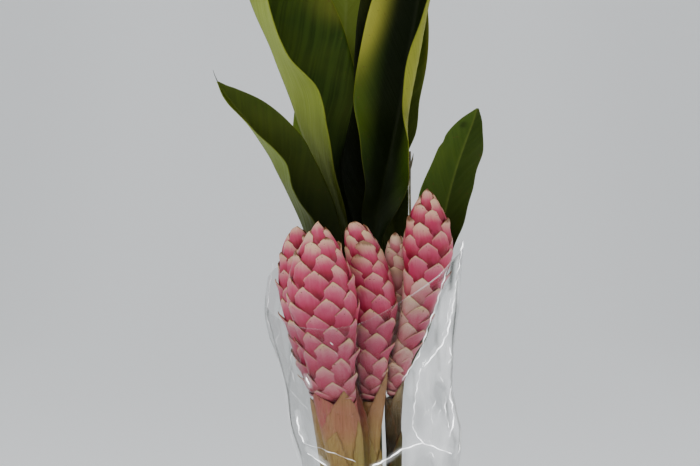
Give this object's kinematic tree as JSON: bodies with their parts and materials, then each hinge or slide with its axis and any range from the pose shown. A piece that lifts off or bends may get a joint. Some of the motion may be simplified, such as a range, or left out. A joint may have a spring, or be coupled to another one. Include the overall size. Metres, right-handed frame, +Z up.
{
  "type": "potted flowering plant",
  "caption": "Potted red ginger with cone-shaped pink blooms and long folded leaves, in a clear film sleeve.",
  "frame": {"origin": "centre of the pot's flat base", "axes": "+Z up, -Y towards the viewer of the picture, +X to the viewer's right"},
  "size_m": [0.2771, 0.2388, 0.8431],
  "materials": {
    "pot_plastic": "moulded, slightly rough",
    "soil": "loose and matt",
    "sheath": "smooth dry leaf sheath",
    "dark_sheath": "dull",
    "bracts": "waxy",
    "shoot": "smooth",
    "leaf": "satin, ribbed",
    "dry_stem": "dry",
    "clear_film": "clear and glossy, creased"
  },
  "bodies": {
    "root": {"pot": "pot_plastic", "soil": "soil", "stalk_back_left": "sheath", "stalk_front_left": "sheath", "stalk_centre": "sheath", "stalk_small_right": "dark_sheath", "stalk_tall_right": "dark_sheath", "cone_back_left": "bracts", "cone_front_left": "bracts", "cone_centre": "bracts", "cone_small_right": "bracts", "cone_tall_right": "bracts", "shoot_left": "shoot", "shoot_centre": "shoot", "shoot_right": "shoot", "leaf_far_left": "leaf", "leaf_big_left": "leaf", "leaf_back_pale": "leaf", "leaf_back_dark": "leaf", "leaf_big_centre": "leaf", "leaf_back_right": "leaf", "leaf_right": "leaf", "leaf_rear_left": "leaf", "leaf_rear_right": "leaf", "dry_stem": "dry_stem", "film_sleeve": "clear_film"}
  },
  "joints": []
}
